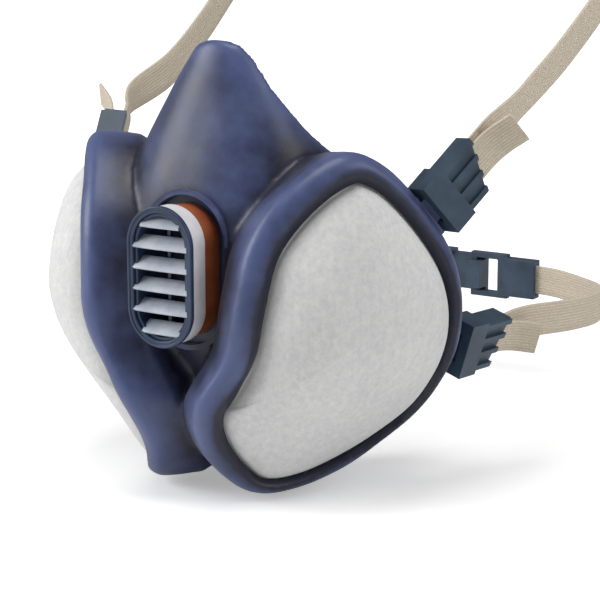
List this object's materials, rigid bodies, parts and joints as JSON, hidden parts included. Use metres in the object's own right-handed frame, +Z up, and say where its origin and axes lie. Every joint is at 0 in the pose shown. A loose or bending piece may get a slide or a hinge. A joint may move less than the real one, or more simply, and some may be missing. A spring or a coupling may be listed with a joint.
{
  "type": "half-mask respirator",
  "caption": "Half-mask respirator: elastomer facepiece with two domed filter pods, louvred exhalation valve, hinged strap buckles, head cradle and neck clasp.",
  "frame": {"origin": "middle of the face opening, level with the mouth, at the rearmost reach of the face seal", "axes": "+X to the wearer's left, +Y towards the back of the head, so the exhalation valve faces -Y, and +Z up"},
  "size_m": [0.1526, 0.2419, 0.23],
  "materials": {
    "facepiece_elastomer": "satin moulded elastomer",
    "cover_nonwoven": "matte spun-bonded non-woven",
    "filter_media": "matte electret felt",
    "carbon_granules": "bonded carbon granules",
    "retainer_plastic": "matte",
    "valve_silicone": "satin silicone",
    "valve_plastic": "satin moulded",
    "band_plastic": "satin moulded",
    "ring_plastic": "satin moulded",
    "buckle_plastic": "satin moulded",
    "strap_webbing": "woven elastic",
    "cradle_plastic": "satin moulded"
  },
  "bodies": {
    "root": {"facepiece": "facepiece_elastomer", "filter_cover_left": "cover_nonwoven", "filter_cover_right": "cover_nonwoven", "particulate_filter_left": "filter_media", "particulate_filter_right": "filter_media", "carbon_bed_left": "carbon_granules", "carbon_bed_right": "carbon_granules", "filter_retainer_left": "retainer_plastic", "filter_retainer_right": "retainer_plastic", "inhalation_seat_left": "retainer_plastic", "inhalation_seat_right": "retainer_plastic", "valve_seat": "valve_plastic", "flap_clamp": "valve_plastic", "code_band": "band_plastic", "valve_ring": "ring_plastic", "valve_grille": "valve_plastic", "anchor_upper_left": "buckle_plastic", "anchor_upper_right": "buckle_plastic", "anchor_lower_left": "buckle_plastic", "anchor_lower_right": "buckle_plastic", "crown_strap_left": "strap_webbing", "crown_strap_right": "strap_webbing", "neck_strap_left": "strap_webbing", "neck_strap_right": "strap_webbing", "head_cradle": "cradle_plastic", "clasp_loop": "cradle_plastic"},
    "upper_left_buckle": {"buckle_upper_left": "buckle_plastic", "strap_end_upper_left": "strap_webbing"},
    "lower_left_buckle": {"buckle_lower_left": "buckle_plastic", "strap_end_lower_left": "strap_webbing"},
    "upper_right_buckle": {"buckle_upper_right": "buckle_plastic", "strap_end_upper_right": "strap_webbing"},
    "lower_right_buckle": {"buckle_lower_right": "buckle_plastic", "strap_end_lower_right": "strap_webbing"},
    "exhalation_flap": {"exhalation_flap": "valve_silicone"},
    "inhalation_valve_left": {"inhalation_valve_left": "valve_silicone"},
    "inhalation_valve_right": {"inhalation_valve_right": "valve_silicone"},
    "clasp_hook": {"clasp_hook": "cradle_plastic", "neck_strap_end": "strap_webbing"}
  },
  "joints": [
    {"name": "upper_left_buckle_swing", "type": "hinge", "parent": "root", "child": "upper_left_buckle", "pos_m": [0.05698, -0.03256, 0.01823], "axis": [-0.3602, -0.5483, 0.7547], "range_deg": [-14, 7], "stiffness_Nm_per_rad": 0.03},
    {"name": "lower_left_buckle_swing", "type": "hinge", "parent": "root", "child": "lower_left_buckle", "pos_m": [0.05545, -0.01625, -0.02527], "axis": [0.2906, -0.0244, 0.9565], "range_deg": [-15, 8], "stiffness_Nm_per_rad": 0.03},
    {"name": "upper_right_buckle_swing", "type": "hinge", "parent": "root", "child": "upper_right_buckle", "pos_m": [-0.05698, -0.03256, 0.01823], "axis": [-0.3602, 0.5483, -0.7547], "range_deg": [-14, 7], "stiffness_Nm_per_rad": 0.03},
    {"name": "lower_right_buckle_swing", "type": "hinge", "parent": "root", "child": "lower_right_buckle", "pos_m": [-0.05545, -0.01625, -0.02527], "axis": [0.2906, 0.0244, -0.9565], "range_deg": [-15, 8], "stiffness_Nm_per_rad": 0.03},
    {"name": "exhalation_flap_open", "type": "hinge", "parent": "root", "child": "exhalation_flap", "pos_m": [0, -0.07093, 0.013], "axis": [-1, 0, 0], "range_deg": [0, 14], "stiffness_Nm_per_rad": 0.0005},
    {"name": "inhalation_left_lift", "type": "slide", "parent": "root", "child": "inhalation_valve_left", "axis": [-0.8358, 0.549, 0], "range_m": [0, 0.002], "stiffness_N_per_m": 3},
    {"name": "inhalation_right_lift", "type": "slide", "parent": "root", "child": "inhalation_valve_right", "axis": [0.8358, 0.549, 0], "range_m": [0, 0.002], "stiffness_N_per_m": 3},
    {"name": "clasp_release", "type": "slide", "parent": "root", "child": "clasp_hook", "axis": [1, 0, 0], "range_m": [0, 0.005], "stiffness_N_per_m": 60}
  ]
}
